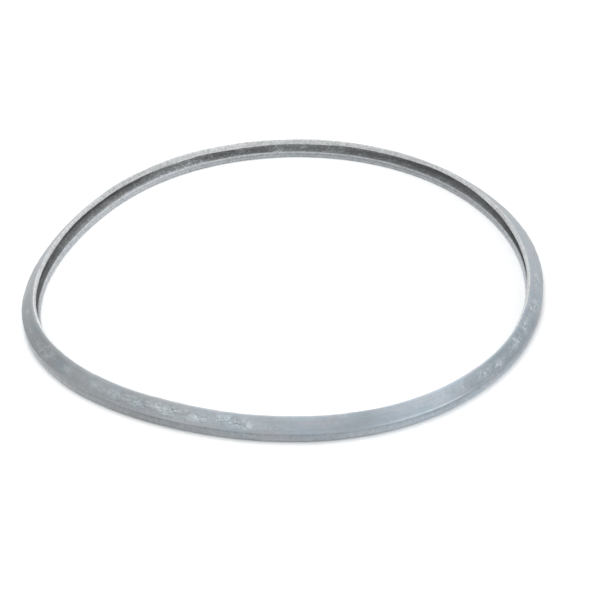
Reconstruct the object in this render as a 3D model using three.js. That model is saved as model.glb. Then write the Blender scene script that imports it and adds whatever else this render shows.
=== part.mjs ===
// Sealing ring of a pressure cooker: one moulding of soft rubber, lying loose on a flat surface.
// Millimetres, +Z up, the origin under the middle of the ring at the level that it lies on.
//
// The section opens towards the middle of the ring. A thick foot lies flat at the bottom, a hood
// leans in over it from the outer wall, and the channel between them is where steam enters and
// swells the ring, so that the foot seals on the pot's rim and the hood seals on the lid.

import * as THREE from 'three';

// Outer wall
const outerRadius = 120; // mean radius of the wall, which makes the ring 240 across
const ridgeHeight = 4.4; // the wall is upright from the floor to this ridge, then leans inwards
const heelRound = 0.6; // edge between the wall and the underside
const wallBulge = 0.6; // how far the leaning wall swells out between the ridge and the lip

// Hood, the upper lip, which ends in a blunt face. An inset is a distance inwards from the wall.
const lipInset = 5.6; // top edge of the blunt face
const lipHeight = 9.8;
const lipRound = 0.5;
const faceReach = 1.0; // how much further in the lower edge of the face is
const faceDrop = 2.2; // and how much lower

// Foot, the lower lip, with a low bead along its inner edge
const footInset = 7.8;
const footHeight = 3.0;
const toeRound = 0.5; // lower inner edge
const noseRound = 0.6; // upper inner edge
const beadWidth = 0.8;

// Channel between the lips
const rootInset = 2.4; // deepest point, which leaves the wall this thick
const rootRound = 1.0;
const channelFloor = 2.2;
const channelTop = 6.3; // where the root meets the underside of the hood

// How a limp, twisted ring departs from a true one, as waves round it: the number of crests, how
// high they stand, and the direction of the first crest in degrees from +X.
const outOfRound = [
  { crests: 2, height: 2.75, direction: 51 },
  { crests: 3, height: 1.8, direction: 85 },
  { crests: 4, height: 1.4, direction: 28 },
  { crests: 5, height: 0.5, direction: 62 },
  { crests: 6, height: 0.1, direction: 25 },
];
const lipLift = [
  { crests: 1, height: 0.2, direction: 158 },
  { crests: 2, height: 0.42, direction: 28 },
];
const lipReach = [
  { crests: 1, height: 0.7, direction: -6 },
  { crests: 2, height: 1.0, direction: 18 },
  { crests: 3, height: 0.4, direction: 20 },
  { crests: 4, height: 0.3, direction: 23 },
];
const footReach = [
  { crests: 2, height: 0.35, direction: 25 },
  { crests: 3, height: 0.45, direction: 20 },
  { crests: 4, height: 0.3, direction: 27 },
];

const stations = 144; // sections round the ring
const roundSteps = 2; // straight steps in each rounded edge

const wave = (rows, angle) => rows.reduce((sum, { crests, height, direction }) => (
  sum + height * Math.cos(crests * (angle - THREE.MathUtils.degToRad(direction)))
), 0);

// The section at one angle, drawn once round with the inset as x and the height as y.
function sectionAt(angle) {
  const lift = wave(lipLift, angle);
  const ridge = new THREE.Vector2(0, ridgeHeight);
  const lip = new THREE.Vector2(lipInset + wave(lipReach, angle), lipHeight + lift);
  const wall = lip.clone().sub(ridge);
  const bulge = new THREE.Vector2(-wall.y, wall.x).setLength(2 * wallBulge);
  const wallControl = ridge.clone().addScaledVector(wall, 0.5).add(bulge);
  const wallEnd = lip.clone().addScaledVector(wall, -lipRound / wall.length());
  const lowerEdge = lip.clone().add(new THREE.Vector2(faceReach, -faceDrop));
  const toe = footInset + wave(footReach, angle);
  const faceStart = lip.clone().lerp(lowerEdge, lipRound / faceDrop);

  const shape = new THREE.Shape();
  shape.moveTo(heelRound, 0);
  shape.quadraticCurveTo(0, 0, 0, heelRound);
  shape.lineTo(ridge.x, ridge.y);
  shape.quadraticCurveTo(wallControl.x, wallControl.y, wallEnd.x, wallEnd.y);
  shape.quadraticCurveTo(lip.x, lip.y, faceStart.x, faceStart.y);
  shape.lineTo(lowerEdge.x, lowerEdge.y);
  shape.lineTo(rootInset + rootRound, channelTop);
  shape.quadraticCurveTo(rootInset, channelTop, rootInset, channelTop - rootRound);
  shape.lineTo(rootInset, channelFloor + rootRound);
  shape.quadraticCurveTo(rootInset, channelFloor, rootInset + rootRound, channelFloor);
  shape.lineTo(toe - 2 * beadWidth, channelFloor);
  shape.lineTo(toe - beadWidth, footHeight);
  shape.lineTo(toe - noseRound, footHeight);
  shape.quadraticCurveTo(toe, footHeight, toe, footHeight - noseRound);
  shape.lineTo(toe, toeRound);
  shape.quadraticCurveTo(toe, 0, toe - toeRound, 0);
  return shape.getPoints(roundSteps);
}

// Carries the changing section once round the ring and closes it on itself.
function sweepRing() {
  const positions = [];
  const faces = [];
  let count = 0;
  for (let station = 0; station < stations; station += 1) {
    const angle = (2 * Math.PI * station) / stations;
    const radius = outerRadius + wave(outOfRound, angle);
    const section = sectionAt(angle);
    count = section.length;
    for (const point of section) {
      const reach = radius - point.x;
      positions.push(reach * Math.cos(angle), reach * Math.sin(angle), point.y);
    }
    const next = (station + 1) % stations;
    for (let i = 0; i < count; i += 1) {
      const j = (i + 1) % count;
      const [a, b] = [station * count + i, station * count + j];
      const [c, d] = [next * count + i, next * count + j];
      faces.push(a, d, b, a, c, d);
    }
  }
  const geometry = new THREE.BufferGeometry();
  geometry.setAttribute('position', new THREE.Float32BufferAttribute(positions, 3));
  geometry.setIndex(faces);

  // The origin goes under the middle of the finished ring.
  geometry.computeBoundingBox();
  const middle = geometry.boundingBox.getCenter(new THREE.Vector3());
  geometry.translate(-middle.x, -middle.y, 0);
  geometry.computeVertexNormals();
  return geometry;
}

const greyRubber = new THREE.MeshStandardMaterial({ color: 0x8f989e, roughness: 0.6, metalness: 0 });

const sealingRing = new THREE.Mesh(sweepRing(), greyRubber);
sealingRing.name = 'sealing_ring';

const pressureCookerSeal = new THREE.Group();
pressureCookerSeal.add(sealingRing);

export default pressureCookerSeal;
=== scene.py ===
# A loose rubber sealing ring for a pressure cooker, lying on a white table under a studio light.

import math

import bpy
import numpy as np
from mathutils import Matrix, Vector


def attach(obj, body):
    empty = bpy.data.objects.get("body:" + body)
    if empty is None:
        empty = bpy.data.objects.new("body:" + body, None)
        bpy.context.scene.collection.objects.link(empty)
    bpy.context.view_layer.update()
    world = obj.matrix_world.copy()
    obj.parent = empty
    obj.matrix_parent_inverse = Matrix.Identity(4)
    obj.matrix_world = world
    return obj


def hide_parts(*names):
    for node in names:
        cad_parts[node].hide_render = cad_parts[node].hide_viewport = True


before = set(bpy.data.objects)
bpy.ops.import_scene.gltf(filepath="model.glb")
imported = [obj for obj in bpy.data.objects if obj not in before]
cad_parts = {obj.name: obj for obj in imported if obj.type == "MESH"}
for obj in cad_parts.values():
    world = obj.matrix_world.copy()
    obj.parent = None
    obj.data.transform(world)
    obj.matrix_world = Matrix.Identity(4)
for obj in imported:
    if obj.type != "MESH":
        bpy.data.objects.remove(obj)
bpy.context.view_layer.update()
print("frame loaded:", sorted(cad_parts))

mm = 0.001

# shape of the moulding, in millimetres and degrees
moulding = {
    # the section: an inset runs inwards from the outer wall, and a round is the length taken off
    # each side of a corner
    "heelRound": 0.7,
    "bulgeHeight": 1.9,
    "bulgeDepth": 0.12,
    "bulgeRound": 0.9,
    "grooveHeight": 3.3,
    "grooveDepth": 0.34,
    "grooveRound": 0.35,
    "ridgeHeight": 4.4,
    "ridgeRound": 0.28,
    "wallBulge": 0.6,
    "wallRound": 2.2,
    "lipInset": 5.6,
    "lipHeight": 9.8,
    "lipRound": 0.9,
    "faceReach": 1.0,
    "faceDrop": 2.2,
    "faceRound": 0.15,
    "channelTop": 6.0,
    "rootInset": 2.4,
    "rootRound": 1.0,
    "channelFloor": 2.2,
    "footInset": 7.8,
    "footHeight": 3.0,
    "beadWidth": 0.8,
    "beadBackRound": 0.5,
    "beadTopRound": 0.2,
    "noseRound": 0.6,
    "toeRound": 0.5,
    # the ring as it lies limp: waves of (crests, height, direction of the first crest)
    "outerRadius": 120.0,
    "outOfRound": [(2, 2.75, 51), (3, 1.8, 85), (4, 1.4, 28), (5, 0.5, 62), (6, 0.1, 25)],
    "lipLift": [(1, 0.2, 158), (2, 0.42, 28)],
    "lipReach": [(1, 0.7, -6), (2, 1.0, 18), (3, 0.4, 20), (4, 0.3, 23)],
    "footReach": [(2, 0.35, 25), (3, 0.45, 20), (4, 0.3, 27)],
    "faceWavers": [(11, 0.1, 165), (17, 0.06, 40)],
    # stretches where the lip's blunt face is deeper or shallower, and where the ring lies further
    # out or in, as bells of (direction, half width, change)
    "faceDeepens": [(110, 34, 0.8), (40, 11, -0.58), (62, 8, 0.2), (127, 9, 0.15), (163, 10, -0.65)],
    "slips": [(187, 14, -0.4)],
    # uneven moulding: bands of waves as (fewest and most crests round the ring, how many waves,
    # height), the fewest and most crests round the section, and the heights above the sole at
    # which it sets in and is full
    "unevenSeed": 11,
    "unevenBands": [(9, 27, 10, 0.05), (40, 109, 14, 0.022), (140, 259, 14, 0.008)],
    "crestsAcross": (1, 3),
    "setsIn": (0.2, 1.6),
    # dents from handling: (direction, how far up the wall from the ridge, half width, depth)
    "dents": [
        (219.5, 0.2, 0.8, 0.35),
        (221.0, 0.9, 0.5, 0.15),
        (280.0, 4.6, 0.6, 0.2),
        (281.0, 3.2, 0.5, 0.15),
        (245.0, 0.3, 0.9, 0.15),
        (301.5, 2.6, 0.6, 0.15),
        (38.0, 3.4, 0.7, 0.2),
        (101.0, 2.2, 0.8, 0.2),
        (160.0, 4.1, 0.6, 0.15),
    ],
    # the grid: steps round the ring, round the section and in each rounded corner, and the length
    # that a radian of turn counts for when the steps are shared out round the section
    "stepsAround": 1000,
    "stepsAcross": 98,
    "cornerSteps": 12,
    "turnWeight": 1.0,
}


def waves(rows, angle):
    # sum over the rows of height times the cosine of crests times (angle less direction)
    return sum(h * np.cos(n * (angle - math.radians(d))) for n, h, d in rows)


def bells(rows, angle):
    # sum over the rows of change times e to the minus square of (turn over half width)
    total = np.zeros_like(angle)
    for direction, width, change in rows:
        turn = (np.degrees(angle) - direction + 180) % 360 - 180
        total += change * np.exp(-((turn / width) ** 2))
    return total


def ease(value, low, high):
    # 0 below low, 1 above high, and between them three squares less two cubes of the way
    t = np.clip((value - low) / (high - low), 0, 1)
    return t * t * (3 - 2 * t)


def sectionCorners(angle):
    # the corners of the section at every angle: name, inset, height, length taken off each side
    s = moulding
    lip = s["lipInset"] + waves(s["lipReach"], angle)
    top = s["lipHeight"] + waves(s["lipLift"], angle)
    toe = s["footInset"] + waves(s["footReach"], angle)
    drop = s["faceDrop"] + waves(s["faceWavers"], angle) + bells(s["faceDeepens"], angle)

    # the wall's corner stands out squarely from the middle of the line from ridge to lip
    rise = top - s["ridgeHeight"]
    bulge = s["wallBulge"] / np.hypot(lip, rise)
    wallInset = lip / 2 - bulge * rise
    wallHeight = s["ridgeHeight"] + rise / 2 + bulge * lip
    corners = [
        ("sole", toe / 2, 0, 0),
        ("heel", s["bulgeDepth"], 0, s["heelRound"]),
        ("bulge", 0, s["bulgeHeight"], s["bulgeRound"]),
        ("groove", s["grooveDepth"], s["grooveHeight"], s["grooveRound"]),
        ("ridge", 0, s["ridgeHeight"], s["ridgeRound"]),
        ("wall", wallInset, wallHeight, s["wallRound"]),
        ("lipTop", lip, top, s["lipRound"]),
        ("lipLow", lip + s["faceReach"], top - drop, s["faceRound"]),
        ("rootTop", s["rootInset"], s["channelTop"], s["rootRound"]),
        ("rootLow", s["rootInset"], s["channelFloor"], s["rootRound"]),
        ("beadBack", toe - 2 * s["beadWidth"], s["channelFloor"], s["beadBackRound"]),
        ("beadTop", toe - s["beadWidth"], s["footHeight"], s["beadTopRound"]),
        ("nose", toe, s["footHeight"], s["noseRound"]),
        ("toe", toe, 0, s["toeRound"]),
    ]
    full = np.ones_like(angle)
    return [(name, inset * full, height * full, cut) for name, inset, height, cut in corners]


def sweepSection(angle):
    # each corner is a quadratic arc between the points cut off on its two sides, and straight
    # lines join the arcs; the samples lie evenly by length plus a share for every turn. It gives
    # the points, the distance round the section of each column and of each corner, and the whole
    # way round
    corners = sectionCorners(angle)
    steps = moulding["cornerSteps"]
    tiny = 1e-9
    t = np.linspace(0, 1, steps + 1)[:, None]
    arcs = []
    for k, (name, inset, height, cut) in enumerate(corners):
        here = np.stack([inset, height], -1)
        before = np.stack(corners[k - 1][1:3], -1) - here
        after = np.stack(corners[(k + 1) % len(corners)][1:3], -1) - here
        before *= cut / np.linalg.norm(before, axis=-1, keepdims=True)
        after *= cut / np.linalg.norm(after, axis=-1, keepdims=True)
        arcs.append(here[:, None] + (1 - t) ** 2 * before[:, None] + t**2 * after[:, None])
    dense = np.concatenate(arcs + [arcs[0][:, :1]], axis=1)

    leg = np.diff(dense.mean(0), axis=0)
    length = np.hypot(*leg.T)
    run = np.concatenate([[0], np.cumsum(length)])
    heading = np.unwrap(np.arctan2(leg[:, 1], leg[:, 0])[length > tiny])
    turn = np.zeros(len(length))
    turn[length > tiny] = np.abs(np.diff(heading, prepend=heading[0]))
    weight = np.concatenate([[0], np.cumsum(length + moulding["turnWeight"] * turn)])
    weight += np.arange(len(weight)) * tiny
    place = np.linspace(0, weight[-1], moulding["stepsAcross"], endpoint=False)
    spot = np.interp(place, weight, np.arange(len(weight)))
    low = np.floor(spot).astype(int)
    part = (spot - low)[:, None]
    profile = dense[:, low] * (1 - part) + dense[:, low + 1] * part
    marks = {c[0]: run[k * (steps + 1) + steps // 2] for k, c in enumerate(corners)}
    return profile, np.interp(place, weight, run), marks, run[-1]


def unevenness(angle, along, marks, around):
    # seeded waves, each a cosine round the ring times a cosine round the section, less the
    # dents, each a bell curve of the distance from its middle
    draw = np.random.default_rng(moulding["unevenSeed"])
    total = np.zeros((len(angle), len(along)))
    for fewest, most, count, height in moulding["unevenBands"]:
        for _ in range(count):
            crests = draw.integers(fewest, most, endpoint=True)
            across = draw.integers(*moulding["crestsAcross"], endpoint=True)
            first, second = draw.uniform(0, 2 * math.pi, 2)
            ripple = np.cos(crests * angle + first)[:, None]
            ripple = ripple * np.cos(2 * math.pi * across * along / around + second)
            total += ripple * height * 2 / math.sqrt(count)
    for direction, height, width, depth in moulding["dents"]:
        turn = (angle - math.radians(direction) + math.pi) % (2 * math.pi) - math.pi
        sideways = turn[:, None] * moulding["outerRadius"]
        upwards = along - marks["ridge"] - height
        total -= depth * np.exp(-(sideways**2 + upwards**2) / width**2)
    return total


def ringPoints(angle, profile, amount):
    # the section is moved along its own normal by the amount, and reaches inwards from the ring's
    # radius at each angle; the ring is then centred, and its slips are added along the radius
    tangent = np.roll(profile, -1, axis=1) - np.roll(profile, 1, axis=1)
    tangent /= np.linalg.norm(tangent, axis=-1, keepdims=True)
    normal = np.stack([-tangent[..., 1], tangent[..., 0]], -1)
    profile = profile + normal * amount[..., None]
    radius = moulding["outerRadius"] + waves(moulding["outOfRound"], angle)
    reach = radius[:, None] - profile[..., 0]
    across, upwards = np.cos(angle)[:, None], np.sin(angle)[:, None]
    points = np.stack([reach * across, reach * upwards, profile[..., 1]], -1)
    flat = points.reshape(-1, 3)
    points[..., :2] -= ((flat.min(0) + flat.max(0)) / 2)[:2]
    slip = bells(moulding["slips"], angle)[:, None]
    points[..., 0] += slip * across
    points[..., 1] += slip * upwards
    return points


def meshFromGrid(name, points):
    # a closed grid: rows go round the ring and columns round the section, both joined end to end
    rows, columns = points.shape[:2]
    r, c = np.meshgrid(np.arange(rows), np.arange(columns), indexing="ij")
    r2, c2 = (r + 1) % rows, (c + 1) % columns
    quads = np.stack([r * columns + c, r * columns + c2, r2 * columns + c2, r2 * columns + c], -1)
    mesh = bpy.data.meshes.new(name)
    mesh.vertices.add(rows * columns)
    mesh.vertices.foreach_set("co", points.reshape(-1))
    mesh.loops.add(quads.size)
    mesh.loops.foreach_set("vertex_index", quads.reshape(-1))
    mesh.polygons.add(rows * columns)
    mesh.polygons.foreach_set("loop_start", np.arange(rows * columns) * 4)
    mesh.polygons.foreach_set("use_smooth", np.ones(rows * columns, bool))
    mesh.update(calc_edges=True)
    mesh.validate()
    piece = bpy.data.objects.new(name, mesh)
    bpy.context.scene.collection.objects.link(piece)
    return piece


# finish of the rubber, in millimetres and degrees
rubberLook = {
    "warm": (0.412, 0.432, 0.446, 1),
    "cool": (0.395, 0.46, 0.52, 1),
    "blush": (0.43, 0.437, 0.478, 1),
    "teal": (0.362, 0.43, 0.468, 1),
    "lipFace": (0.695, 0.71, 0.715, 1),
    # the channel's dark colour is painted shade for its hollow
    "channel": (0.215, 0.223, 0.228, 1),
    "channelDust": (0.74, 0.76, 0.77, 1),
    "chalk": (0.71, 0.8, 0.84, 1),
    "grime": (0.22, 0.24, 0.26, 1),
    # where parts of the section begin: the corner, and how far past it the part sets in and is
    # full
    "borders": {
        "face": ("lipTop", -0.3, 0.1),
        "channel": ("lipLow", -0.05, 0.1),
        "foot": ("beadTop", -0.5, 0.0),
        "channelFloor": ("rootLow", -0.8, 1.0),
    },
    # painted light and shade: the general lightness of each part, and how much lighter or darker it
    # gets towards some directions as the light falls on it, as bells of (direction, half width,
    # change)
    "paintedLightTones": {
        "wall": (
            0.88,
            [(211, 20, -0.34), (240, 10, -0.13), (285, 7, -0.06), (300, 9, 0.24), (328, 20, -0.2)],
        ),
        "band": (0.86, [(200, 13, 0.42), (240, 16, -0.12), (294, 13, 0.24), (318, 10, 0.12)]),
        "heel": (0.06, [(316, 18, 0.65), (262, 16, 0.05), (205, 22, 0.54)]),
        "crest": (0.05, [(203, 12, 0.2), (238, 30, 0.25), (322, 16, 0.36)]),
        "groove": (-0.14, [(300, 14, -0.16), (325, 12, -0.08)]),
        "ridge": (0.0, [(299, 11, 0.55), (246, 9, 0.2), (272, 10, 0.08), (222, 10, 0.12)]),
        "face": (0.725, [(18, 14, -0.08), (54, 9, -0.09), (111, 17, 0.16), (165, 20, 0.1)]),
        "channel": (0.58, [(32, 12, 0.42), (63, 12, 0.25), (88, 15, 0.8), (121, 11, 0.85)]),
        "channelFloor": (0.6, [(145, 24, 1.1), (122, 9, 0.4), (50, 19, 0.65), (163, 9, 0.3)]),
        "foot": (0.95, [(42, 26, -0.03), (185, 9, 0.15), (154, 40, 0.38), (2, 14, 0.32)]),
        "nose": (-0.2, [(60, 28, -0.14)]),
    },
    # painted light and shade that lie along a corner instead: highlights along the heel, the ridge
    # and the lip's top, shade in the groove and past the nose; the corner, how far past it, half
    # width
    "paintedLightLines": {
        "heel": ("heel", 0.0, 1.0),
        "groove": ("groove", 0.0, 0.45),
        "ridge": ("ridge", 0.0, 0.45),
        "crest": ("lipTop", 0.0, 1.0),
        "nose": ("nose", 0.95, 0.5),
    },
    # where a painted bluish cast of the light falls on the rubber, and where dust is caught in the
    # channel, as bells
    "paintedCoolLight": [(312, 62, 1.0)],
    "dusts": [(98, 27, 0.6), (150, 60, 0.4), (35, 50, 0.4)],
    # chalky bloom rubbed into the wall: (direction, half width, how far up the wall from the
    # ridge, half height, strength)
    "blooms": [
        (241.0, 3.2, 3.4, 1.6, 0.6),
        (247.0, 3.0, 2.6, 1.8, 0.95),
        (252.0, 3.0, 2.8, 1.5, 1.0),
        (257.5, 2.2, 3.6, 1.8, 0.7),
        (262.0, 2.6, 2.2, 1.4, 1.0),
        (261.0, 3.4, 4.6, 1.6, 0.7),
        (268.0, 2.6, 2.4, 1.5, 0.2),
        (246.0, 7.0, 3.8, 1.8, 0.7),
        (235.0, 3.0, 3.4, 2.2, 0.55),
        (229.0, 2.4, 3.8, 2.2, 0.45),
        (222.0, 2.0, 3.4, 1.8, 0.4),
        (216.0, 1.5, 4.6, 1.4, 0.55),
        (211.0, 1.8, 3.6, 1.6, 0.55),
        (206.0, 1.2, 2.6, 1.2, 0.45),
        (200.0, 1.5, 4.6, 1.4, 0.5),
        (190.0, 2.4, 3.4, 2.0, 0.4),
        (293.0, 1.4, 4.6, 1.2, 0.35),
        (303.0, 2.0, 3.6, 1.6, 0.4),
        (308.5, 2.0, 3.6, 1.8, 0.7),
        (314.5, 2.4, 3.4, 2.0, 1.0),
        (319.0, 2.2, 2.6, 1.8, 1.0),
        (327.0, 3.0, 4.0, 2.4, 1.0),
        (334.0, 2.8, 4.4, 2.2, 1.0),
        (342.0, 3.0, 4.0, 2.4, 1.0),
        (352.0, 3.4, 4.2, 2.2, 0.9),
        (12.0, 5.0, 4.0, 2.4, 0.35),
        (55.0, 6.0, 3.6, 2.4, 0.5),
        (92.0, 4.0, 3.0, 2.2, 0.4),
        (131.0, 7.0, 3.8, 2.6, 0.5),
        (172.0, 4.0, 3.4, 2.4, 0.4),
    ],
    # noises: (size, how much finer round the ring and round the section, or None where the noise
    # doesn't run with the moulding, detail, roughness, distortion)
    "noises": {
        "patch": (16, (0.6, 1.6), 3.0, 0.55, 0.0),
        "blush": (7.0, (0.4, 1.8), 3.0, 0.55, 0.0),
        "teal": (8.0, (0.6, 1.3), 3.0, 0.5, 0.4),
        "specks": (1.2, None, 2.0, 0.6, 0.0),
        "threadRoom": (4.0, None, 3.0, 0.55, 0.0),
        "mottle": (2.2, None, 4.0, 0.65, 0.4),
        "grain": (0.7, None, 3.0, 0.7, 0.0),
        "streaks": (1.3, (0.09, 1.0), 3.0, 0.55, 0.0),
        "fleck": (1.3, None, 2.0, 0.6, 0.5),
        "cloud": (4.0, None, 4.0, 0.65, 0.5),
        "stray": (12.0, None, 2.0, 0.55, 0.0),
        "broken": (2.4, None, 2.0, 0.55, 0.0),
    },
    # windows that cut some of the noises: the value that the noise sets in at, the value that it
    # is full at, and how much full is
    "windows": {
        "blush": (0.47, 0.66, 0.75),
        "teal": (0.5, 0.66, 0.75),
        "specks": (0.52, 0.7, 0.48),
        "threadRoom": (0.42, 0.6, 0.7),
        "cloud": (0.38, 0.66, 1.0),
        "stray": (0.58, 0.7, 0.45),
        "broken": (0.38, 0.56, 1.0),
    },
    # winding lines: (size, how much finer round the ring and round the section, width), and the
    # detail, roughness and distortion of them all
    "scribbles": {
        "threads": (2.4, (0.6, 1.0), 0.07),
        "scratches": (1.4, (0.5, 1.0), 0.036),
        "longScratches": (1.2, (0.18, 1.0), 0.034),
        "grime": (2.4, (0.5, 1.2), 0.055),
    },
    "scribbleNoise": (2.5, 0.6, 0.6),
    # how far the patches swing from warm to cool, how much the plain foot's end lacks of the cool
    # and of the teal, and how plain the band below the ridge is beside it
    "patchSwing": 1.0,
    "plainWarmth": 0.35,
    "plainTeal": 0.7,
    "bandPlain": 0.6,
    # how much each pattern lightens and darkens the rubber
    "mottleShade": 0.3,
    "streakShade": 0.3,
    "grainShade": 0.18,
    "fleckShade": 1.15,
    "faceStreakShade": 0.4,
    "cloudShade": 0.22,
    # how much of its colour each mark gives
    "softBloomCover": 0.2,
    "grimeCover": 0.7,
    "scratchCover": 0.76,
    # the bare rubber is satin, and these make it duller
    "roughness": 0.38,
    "mottleDull": 0.2,
    "bloomDull": 0.2,
    "channelDull": 0.15,
    # how high each pattern stands, as shares of the relief in millimetres
    "streakRise": 0.5,
    "grainRise": 0.25,
    "mottleRise": 0.6,
    "scratchRise": 0.25,
    "relief": 0.12,
    "reliefStrength": 0.4,
}


def sectionParts(along, marks):
    # each part's share of a point by its distance round the section, from 0 to 1
    begun = {}
    for name, (corner, low, high) in rubberLook["borders"].items():
        begun[name] = ease(along, marks[corner] + low, marks[corner] + high)
    part = {
        "face": begun["face"] * (1 - begun["channel"]),
        "channel": begun["channel"] * (1 - begun["foot"]),
        "foot": begun["foot"],
        "band": 1 - ease(along, marks["groove"], marks["ridge"]),
    }
    part["wall"] = 1 - part["face"] - part["channel"] - part["foot"] - part["band"]
    part["channelFloor"] = part["channel"] * begun["channelFloor"]
    return part


def bloomed(angle, along, marks):
    # the sum of the blooms, each a bell curve round the ring times one up the wall
    total = np.zeros((len(angle), len(along)))
    for direction, width, height, reach, strength in rubberLook["blooms"]:
        sideways = bells([(direction, width, strength)], angle)[:, None]
        upwards = along - marks["ridge"] - height
        total += sideways * np.exp(-((upwards / reach) ** 2))
    return np.clip(total, 0, 1)


def paintedLightAndShade(angle, along, marks, part):
    # painted light and shade: each part's lightness times its share of the section, plus painted
    # highlights and shade along some corners, each a bell curve of the distance round the section
    shares = dict(part)
    for name, (corner, past, width) in rubberLook["paintedLightLines"].items():
        shares[name] = np.exp(-(((along - marks[corner] - past) / width) ** 2))
    paintedLighting = np.zeros((len(angle), len(along)))
    for name, share in shares.items():
        base, rows = rubberLook["paintedLightTones"][name]
        paintedLighting += (base + bells(rows, angle))[:, None] * share
    return paintedLighting


def setAttribute(piece, name, values):
    layer = piece.data.attributes.new(name, "FLOAT_VECTOR", "POINT")
    layer.data.foreach_set("vector", np.ascontiguousarray(values, dtype=np.float32).reshape(-1))


def layFinish(piece, angle, along, marks):
    # "lay" runs with the moulding: round the ring in its first two values, round the section in
    # the third. "zones" is how far a point is on the lip's blunt face, how far in the channel,
    # and how powdery: from bloom outside the channel, from dust inside it. The third attribute is
    # the painted light and shade on the rubber, how strong the painted bluish cast of the light is,
    # and how plain the rubber is: wholly on the foot's end, partly on the band
    full = np.ones((len(angle), len(along)))
    part = sectionParts(along, marks)
    radius = moulding["outerRadius"] * full
    lay = [radius * np.cos(angle)[:, None], radius * np.sin(angle)[:, None], along * full]
    dust = bells(rubberLook["dusts"], angle)[:, None] * part["channel"]
    powder = bloomed(angle, along, marks) * (1 - part["channel"]) + dust
    zones = [part["face"] * full, part["channel"] * full, powder]
    cool = bells(rubberLook["paintedCoolLight"], angle)[:, None] * full
    plain = (part["foot"] + rubberLook["bandPlain"] * part["band"]) * full
    tint = [paintedLightAndShade(angle, along, marks, part), cool, plain]
    setAttribute(piece, "lay", np.stack(lay, -1) * mm)
    setAttribute(piece, "zones", np.stack(zones, -1))
    setAttribute(piece, "tint", np.stack(tint, -1))


def newNode(tree, kind, settings, inputs):
    # settings go on the node itself; an input is a plain value or another node's output
    made = tree.nodes.new(kind)
    for name, value in settings.items():
        setattr(made, name, value)
    for name, value in inputs.items():
        if isinstance(value, bpy.types.NodeSocket):
            tree.links.new(value, made.inputs[name])
        else:
            made.inputs[name].default_value = value
    return made


def maths(tree, operation, first, second=0.0, third=0.0):
    inputs = {0: first, 1: second, 2: third}
    return newNode(tree, "ShaderNodeMath", {"operation": operation}, inputs).outputs[0]


def times(tree, first, *others):
    for other in others:
        first = maths(tree, "MULTIPLY", first, other)
    return first


def remap(tree, value, low, high, newLow, newHigh):
    inputs = {"Value": value, 1: low, 2: high, 3: newLow, 4: newHigh}
    made = newNode(tree, "ShaderNodeMapRange", {"interpolation_type": "SMOOTHSTEP"}, inputs)
    return made.outputs["Result"]


def blend(tree, amount, first, second, kind="MIX"):
    # the colour sockets of a mix node are its inputs 6 and 7 and its output 2
    settings = {"data_type": "RGBA", "blend_type": kind}
    return newNode(tree, "ShaderNodeMix", settings, {0: amount, 6: first, 7: second}).outputs[2]


def threeValues(tree, attribute):
    whole = newNode(tree, "ShaderNodeAttribute", {"attribute_name": attribute}, {})
    return newNode(tree, "ShaderNodeSeparateXYZ", {}, {0: whole.outputs["Vector"]}).outputs


def noise(tree, where, size, finer, detail, roughness, distortion):
    # where the noise runs with the moulding, its place is multiplied round the ring and section
    if finer:
        ring, section = finer
        inputs = {0: where, 1: (ring, ring, section)}
        made = newNode(tree, "ShaderNodeVectorMath", {"operation": "MULTIPLY"}, inputs)
        where = made.outputs[0]
    inputs = {
        "Vector": where,
        "Scale": 1 / (size * mm),
        "Detail": detail,
        "Roughness": roughness,
        "Distortion": distortion,
    }
    return newNode(tree, "ShaderNodeTexNoise", {}, inputs).outputs["Fac"]


def fromMiddle(tree, value):
    # how far a noise is above or below its middle value
    return maths(tree, "SUBTRACT", value, 0.5)


def pattern(tree, where, name):
    # the noise of that name, through its window if it has one
    value = noise(tree, where, *rubberLook["noises"][name])
    if name in rubberLook["windows"]:
        low, high, most = rubberLook["windows"][name]
        value = remap(tree, value, low, high, 0.0, most)
    return value


def scribble(tree, where, name):
    # thin winding lines where a noise crosses its middle value
    size, finer, width = rubberLook["scribbles"][name]
    value = noise(tree, where, size, finer, *rubberLook["scribbleNoise"])
    away = maths(tree, "ABSOLUTE", fromMiddle(tree, value))
    return remap(tree, away, 0.0, width, 1.0, 0.0)


def bareColour(tree, lay, cool, plain):
    # patches of warmer and cooler grey, on top of the painted bluish cast of the light that the
    # attribute gives, then casts of blush and teal
    look = rubberLook
    swing = fromMiddle(tree, pattern(tree, lay, "patch"))
    patch = maths(tree, "MULTIPLY_ADD", swing, look["patchSwing"], cool)
    patch = maths(tree, "MULTIPLY_ADD", plain, -look["plainWarmth"], patch)
    patch = remap(tree, patch, 0.0, 1.0, 0.0, 1.0)
    colour = blend(tree, patch, look["warm"], look["cool"])
    colour = blend(tree, pattern(tree, lay, "blush"), colour, look["blush"])
    kept = maths(tree, "MULTIPLY_ADD", plain, -look["plainTeal"], 1.0)
    return blend(tree, times(tree, pattern(tree, lay, "teal"), kept), colour, look["teal"])


def channelShadeAndDust(tree, place, lay, powder):
    # dark as painted shade in the channel's hollow, with dust caught in specks and threads
    threads = times(tree, scribble(tree, lay, "threads"), pattern(tree, place, "threadRoom"))
    dust = maths(tree, "MAXIMUM", pattern(tree, place, "specks"), threads)
    return blend(tree, times(tree, dust, powder), rubberLook["channel"], rubberLook["channelDust"])


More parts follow.
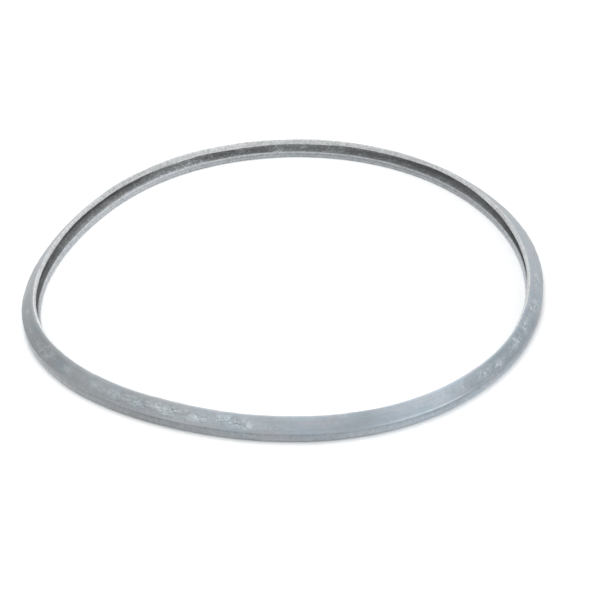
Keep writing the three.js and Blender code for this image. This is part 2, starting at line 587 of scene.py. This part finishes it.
def rubber():
    look = rubberLook
    material = bpy.data.materials.new("grey_rubber")
    material.use_nodes = True
    tree = material.node_tree
    shader = tree.nodes["Principled BSDF"]
    place = newNode(tree, "ShaderNodeTexCoord", {}, {}).outputs["Object"]
    lay = newNode(tree, "ShaderNodeAttribute", {"attribute_name": "lay"}, {}).outputs["Vector"]
    face, channel, powder = threeValues(tree, "zones")
    # the painted light and shade, and the painted bluish cast of the light, come in with how plain
    # the rubber is
    paintedLighting, cool, plain = threeValues(tree, "tint")
    bloom = times(tree, powder, maths(tree, "SUBTRACT", 1.0, channel))
    colour = blend(tree, face, bareColour(tree, lay, cool, plain), look["lipFace"])
    colour = blend(tree, channel, colour, channelShadeAndDust(tree, place, lay, powder))

    # mottling, fine grain, and streaks that run with the moulding; flecks on the lip's face and
    # the foot's end, more streaks on the face, and clouds in the bloom
    mottle = pattern(tree, place, "mottle")
    grain = pattern(tree, place, "grain")
    streaks = pattern(tree, lay, "streaks")
    cloud = pattern(tree, place, "cloud")
    ends = maths(tree, "MAXIMUM", face, plain)
    shade = 1.0
    for value, amount, where in (
        (mottle, look["mottleShade"], 1.0),
        (streaks, look["streakShade"], 1.0),
        (grain, look["grainShade"], 1.0),
        (pattern(tree, place, "fleck"), look["fleckShade"], ends),
        (streaks, look["faceStreakShade"], face),
        (cloud, look["cloudShade"], bloom),
    ):
        swing = times(tree, fromMiddle(tree, value), where)
        shade = maths(tree, "MULTIPLY_ADD", swing, amount, shade)
    # painted light and shade multiply the lightness here
    shade = times(tree, shade, paintedLighting)
    grey = newNode(tree, "ShaderNodeCombineColor", {}, {0: shade, 1: shade, 2: shade}).outputs[0]
    colour = blend(tree, 1.0, colour, grey, "MULTIPLY")

    # chalky bloom: a soft cast with winding scratches in it, and a few scratches elsewhere
    softBloom = times(tree, bloom, cloud)
    stray = maths(tree, "SUBTRACT", pattern(tree, place, "stray"), channel)
    room = times(tree, maths(tree, "MAXIMUM", bloom, stray), pattern(tree, place, "broken"))
    short, long = scribble(tree, lay, "scratches"), scribble(tree, lay, "longScratches")
    scratches = times(tree, maths(tree, "MAXIMUM", short, long), room)
    grime = times(tree, scribble(tree, lay, "grime"), room)
    for mark, cover, over in (
        (softBloom, look["softBloomCover"], look["chalk"]),
        (grime, look["grimeCover"], look["grime"]),
        (scratches, look["scratchCover"], look["chalk"]),
    ):
        colour = blend(tree, times(tree, mark, cover), colour, over)
    tree.links.new(colour, shader.inputs["Base Color"])

    rough = look["roughness"]
    for value, amount in (
        (mottle, look["mottleDull"]),
        (softBloom, look["bloomDull"]),
        (channel, look["channelDull"]),
    ):
        rough = maths(tree, "MULTIPLY_ADD", value, amount, rough)
    tree.links.new(rough, shader.inputs["Roughness"])

    height = 0.0
    for value, amount in (
        (streaks, look["streakRise"]),
        (grain, look["grainRise"]),
        (mottle, look["mottleRise"]),
        (scratches, look["scratchRise"]),
    ):
        height = maths(tree, "MULTIPLY_ADD", value, amount, height)
    inputs = {"Strength": look["reliefStrength"], "Distance": look["relief"] * mm, "Height": height}
    bump = newNode(tree, "ShaderNodeBump", {}, inputs)
    tree.links.new(bump.outputs["Normal"], shader.inputs["Normal"])
    return material


def makeRing():
    angle = np.arange(moulding["stepsAround"]) * 2 * math.pi / moulding["stepsAround"]
    profile, along, marks, around = sweepSection(angle)
    amount = unevenness(angle, along, marks, around) * ease(profile[..., 1], *moulding["setsIn"])
    piece = meshFromGrid("seal_moulding", ringPoints(angle, profile, amount) * mm)
    layFinish(piece, angle, along, marks)
    piece.data.materials.append(rubber())
    return piece


ring = makeRing()
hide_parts("sealing_ring")
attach(ring, "root")
print("ring made:", len(ring.data.polygons), "faces")

# table, light and camera, in metres and degrees, but the lens and its sensor in millimetres; a
# light is (name, place, aim, size, power in watts, colour)
studio = {
    "cameraElevation": 35.0,
    "cameraDistance": 0.6,
    "cameraAim": (0.0064, -0.0219, 0.0),
    "lens": 78.7,
    "sensorWidth": 36.0,
    "tableSize": 30.0,
    "tableLevel": -0.0001,
    "tableWhite": (0.95, 0.96, 0.965, 1),
    "tableRoughness": 0.8,
    "skyColour": (1.0, 1.0, 1.0, 1),
    "skyStrength": 0.72,
    "lights": [
        ("overhead", (-0.08, 0.15, 1.1), (0, 0, 0), (0.7, 0.7), 6.8, (1, 1, 1)),
    ],
}


def makeTable():
    # one square face, just under the ring
    size, level = studio["tableSize"] / 2, studio["tableLevel"]
    corners = [(-size, -size, level), (size, -size, level), (size, size, level), (-size, size, level)]
    mesh = bpy.data.meshes.new("table")
    mesh.from_pydata(corners, [], [(0, 1, 2, 3)])
    table = bpy.data.objects.new("table", mesh)
    bpy.context.scene.collection.objects.link(table)
    material = bpy.data.materials.new("white_table")
    material.use_nodes = True
    shader = material.node_tree.nodes["Principled BSDF"]
    shader.inputs["Base Color"].default_value = studio["tableWhite"]
    shader.inputs["Roughness"].default_value = studio["tableRoughness"]
    table.data.materials.append(material)


def makeLight(name, place, aim, size, power, colour):
    light = bpy.data.lights.new(name, "AREA")
    light.shape = "RECTANGLE"
    light.size, light.size_y = size
    light.energy = power
    light.color = colour
    lamp = bpy.data.objects.new(name, light)
    lamp.location = place
    lamp.rotation_euler = (Vector(aim) - Vector(place)).to_track_quat("-Z", "Y").to_euler()
    bpy.context.scene.collection.objects.link(lamp)


def makeSky():
    world = bpy.data.worlds.new("studio")
    world.use_nodes = True
    background = world.node_tree.nodes["Background"]
    background.inputs["Color"].default_value = studio["skyColour"]
    background.inputs["Strength"].default_value = studio["skyStrength"]
    bpy.context.scene.world = world
    bpy.context.scene.view_settings.view_transform = "Standard"


def makeCamera():
    # it stands back from its aim by the distance, at the elevation, and looks towards +Y
    elevation = math.radians(studio["cameraElevation"])
    aim = Vector(studio["cameraAim"])
    back = Vector((0, -math.cos(elevation), math.sin(elevation)))
    camera = bpy.data.objects.new("camera", bpy.data.cameras.new("camera"))
    camera.data.lens = studio["lens"]
    camera.data.sensor_width = studio["sensorWidth"]
    camera.location = aim + back * studio["cameraDistance"]
    camera.rotation_euler = (-back).to_track_quat("-Z", "Y").to_euler()
    bpy.context.scene.collection.objects.link(camera)
    bpy.context.scene.camera = camera


makeTable()
for row in studio["lights"]:
    makeLight(*row)
makeSky()
makeCamera()
print("studio made")
